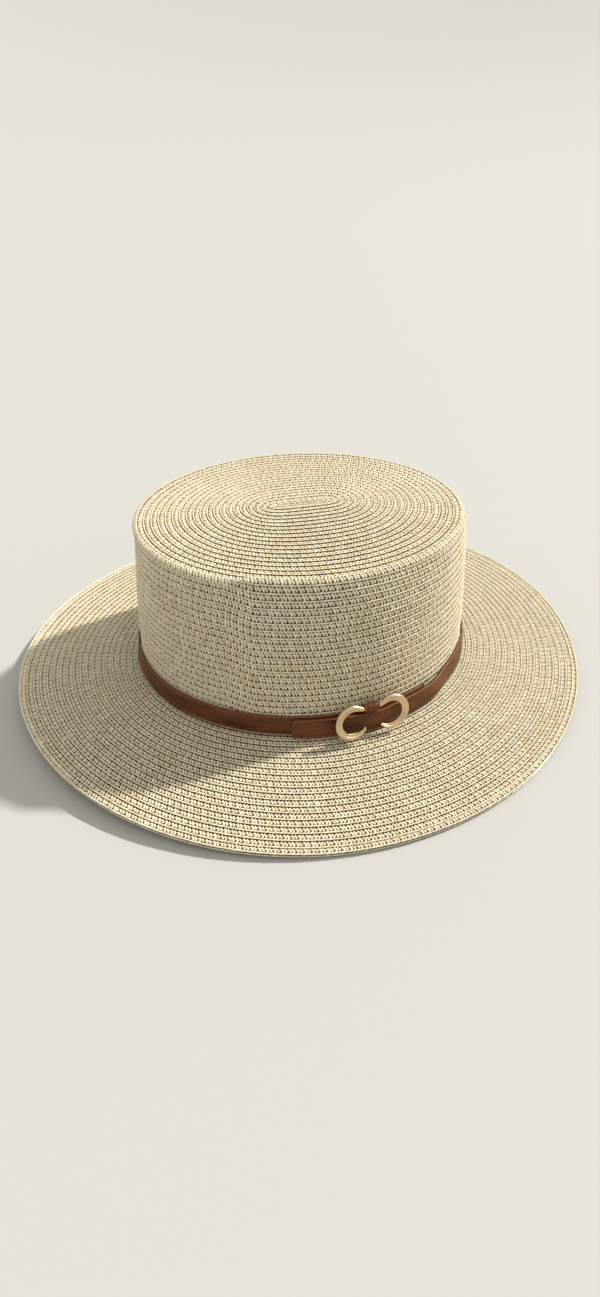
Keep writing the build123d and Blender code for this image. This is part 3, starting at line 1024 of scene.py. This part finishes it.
# %% Band cloth
def make_cloth(name, low_colour, high_colour, thread_scale):
    material, nodes, links, shader = shader_nodes(name)
    coordinates = nodes.new("ShaderNodeTexCoord").outputs["Object"]
    cloud = noise(nodes, links, coordinates, 90.0, 3.0)
    threads = noise(nodes, links, stretched(nodes, links, coordinates, (600, 600, thread_scale)), 1.0, 2.0)
    colour = ramp(nodes, links, cloud, [(0.3, low_colour), (0.7, high_colour)])
    colour = mixed(nodes, links, "MULTIPLY", 0.5, colour,
                   ramp(nodes, links, threads, [(0.35, (0.78, 0.76, 0.72)), (0.6, (1, 1, 1))]))
    links.new(colour, shader.inputs["Base Color"])
    shader.inputs["Roughness"].default_value = 0.88
    shader.inputs["Sheen Weight"].default_value = 0.25
    shader.inputs["Sheen Roughness"].default_value = 0.5
    bumped(nodes, links, shader, threads, 0.5, 0.00015)
    return material


band_cloth = make_cloth("ribbed_band_cloth", (0.62, 0.55, 0.43), (0.72, 0.65, 0.52), 2600)
thread_cloth = make_cloth("thread_cloth", (0.58, 0.50, 0.37), (0.68, 0.60, 0.46), 2600)

# %% The ribbed band
band_low, band_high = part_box("sweatband")
band_ribs, samples_per_rib = 360, 4
rib_depth = 0.10 * MM
band_gap = 1.85 * MM
band_thickness = 0.62 * MM


def band_ring(z, inset, ribbed, angles):
    rib = rib_depth * np.cos(band_ribs * angles) * ribbed
    off = band_gap + wall_inset(z) + inset + rib
    return np.stack([(oval_a - off) * np.cos(angles), (oval_b - off) * np.sin(angles),
                     np.full_like(angles, z)], axis=-1)


band_angles = np.linspace(0, 2 * np.pi, band_ribs * samples_per_rib, endpoint=False)
# height, inset and how much rib: up the back, over the rolled top edge and down the ribbed face
levels = [(band_low.z + 0.3 * MM, 0.0, 0), (band_high.z - 0.7 * MM, 0.0, 0),
          (band_high.z - 0.1 * MM, 0.18 * MM, 0), (band_high.z, 0.45 * MM, 0),
          (band_high.z - 0.25 * MM, 0.95 * MM, 0), (band_high.z - 1.1 * MM, 1.15 * MM, 0),
          (band_high.z - 2.2 * MM, 1.05 * MM, 0.3), (band_high.z - 2.6 * MM, band_thickness, 1)]
levels += [(z, band_thickness, 1) for z in np.linspace(band_high.z - 4 * MM, band_low.z + 3.4 * MM, 6)]
levels += [(band_low.z + 2.9 * MM, band_thickness * 0.7, 0.4), (band_low.z + 2.4 * MM, band_thickness, 1),
           (band_low.z + 0.3 * MM, band_thickness, 1)]
band_rings = np.stack([band_ring(z, inset, ribbed, band_angles) for z, inset, ribbed in levels])
ring_count, ring_size = band_rings.shape[:2]
band_index = np.arange(ring_count * ring_size).reshape(ring_count, ring_size)
after = np.roll(band_index, -1, axis=0)
band_faces = np.stack([band_index, after, np.roll(after, -1, axis=1),
                       np.roll(band_index, -1, axis=1)], axis=-1)
band = new_piece("sweatband_cloth", band_rings.reshape(-1, 3),
                 band_faces.reshape(-1, 4).tolist(), band_cloth)
turn_faces_outwards(band.data)
settle(band, "hat", "sweatband_cloth", "sweatband")


# %% Stitches
def stitch_cloud(points, facing, along, length, width):
    count = len(points)
    return anchor_cloud(dict(point=points, facing=facing, along=along,
                             size=np.tile((length, width, width * 0.8), (count, 1)), turn=np.zeros(count)))


def lay_stitches(name, cloud, seed, material, slot):
    piece = lay_floats(cloud, full_float, None, seed, material)
    piece.name = piece.data.name = name
    return settle(piece, "hat", slot)


stitch_count, stitch_length, stitch_width = 170, 2.4 * MM, 0.45 * MM
stitch_angles = np.linspace(0, 2 * np.pi, stitch_count, endpoint=False)
stitch_points = band_ring(band_low.z + 2.65 * MM, band_thickness + 0.12 * MM, 0, stitch_angles)
stitch_facing = -np.stack([oval_b * np.cos(stitch_angles), oval_a * np.sin(stitch_angles),
                           0 * stitch_angles], axis=-1)
stitch_facing /= np.linalg.norm(stitch_facing, axis=-1, keepdims=True)
stitch_along = np.cross(up, stitch_facing)
stitches = stitch_cloud(stitch_points, stitch_facing, stitch_along, stitch_length, stitch_width)
lay_stitches("sweatband_stitches", stitches, 500, thread_cloth, "thread")

# %% The lap at the band's back
lap_half_turn = 7 * MM / oval_a
lap_steps = 9
lap_angles = np.linspace(math.pi - lap_half_turn, math.pi + lap_half_turn, lap_steps)
lap_z = (band_low.z + band_high.z) / 2
lap_height = band_high.z - band_low.z - 1.2 * MM
lap_path = band_ring(lap_z, band_thickness + 0.1 * MM, 0, lap_angles)
lap_facing = np.stack([-np.cos(lap_angles), -np.sin(lap_angles), 0 * lap_angles], axis=-1)
lap_section = np.array(strip_section(lap_height, 0.5 * MM, 0.0, 0.2))
band_lap = sweep_section("sweatband_lap", lap_path, np.tile(up, (lap_steps, 1)), lap_facing,
                         np.repeat(lap_section[None], lap_steps, axis=0), band_cloth)
settle(band_lap, "hat", "sweatband_cloth")

# %% [markdown]
# ## Thread tacks
# Four small tacks of brown thread hold the strap to the crown. Each comes out of the straw above the
# strap and goes down over its top edge.

# %% Tacks
tack_thread = make_cloth("tack_thread", (0.10, 0.045, 0.02), (0.16, 0.075, 0.035), 2600)
tack_angles = np.radians([25.0, 95.0, 165.0, 235.0])
thread_half = 0.26 * MM
# mm out from the crown and up from the strap's top edge: out of the straw, over the edge and in again
tack_line = [(-0.9, 1.4), (-0.1, 1.25), (0.7, 0.95), (1.35, 0.45), (1.6, -0.1), (1.72, -0.8),
             (1.85, -1.5), (1.6, -2.1), (1.0, -2.3)]
circle = [(thread_half * math.cos(t), thread_half * math.sin(t))
          for t in np.linspace(0, 2 * math.pi, 8, endpoint=False)]
thread_sections = np.repeat(np.array(circle)[None], len(tack_line), axis=0)
strap_top_z = float(low_z.mean() + strap_width * math.cos(lean))
for number, angle in enumerate(tack_angles, 1):
    out = np.array([oval_b * math.cos(angle), oval_a * math.sin(angle), 0])
    out /= np.linalg.norm(out)
    side = np.cross(up, out)
    foot = np.array([oval_a * math.cos(angle), oval_b * math.sin(angle), 0])
    tack_path = np.array([foot + out * x * MM + up * (strap_top_z + z * MM) for x, z in tack_line])
    heading = np.gradient(tack_path, axis=0)
    heading /= np.linalg.norm(heading, axis=1, keepdims=True)
    piece = sweep_section(f"belt_tack_{number}", tack_path, np.tile(side, (len(tack_line), 1)),
                          np.cross(heading, side), thread_sections, tack_thread)
    settle(piece, "hat", "thread", "belt_tacks")

# %% [markdown]
# ## The edge wire
# A round steel wire lies in the brim's doubled edge and holds its curve. It is hidden, and the
# frame's own swept wire already has its true shape, so it only gets a better metal.

# %% The edge wire
def make_wire_metal():
    material, nodes, links, shader = shader_nodes("drawn_wire")
    coordinates = nodes.new("ShaderNodeTexCoord").outputs["Object"]
    cloud = noise(nodes, links, coordinates, 700.0, 2.0)
    links.new(ramp(nodes, links, cloud, [(0.3, (0.52, 0.50, 0.46)), (0.7, (0.64, 0.62, 0.58))]),
              shader.inputs["Base Color"])
    shader.inputs["Metallic"].default_value = 1.0
    shader.inputs["Roughness"].default_value = 0.38
    return material


wire = frame["nodes"]["brim_edge_wire"]
wire.data.materials.clear()
wire.data.materials.append(make_wire_metal())
drop(full_float)
drop(plain_float)
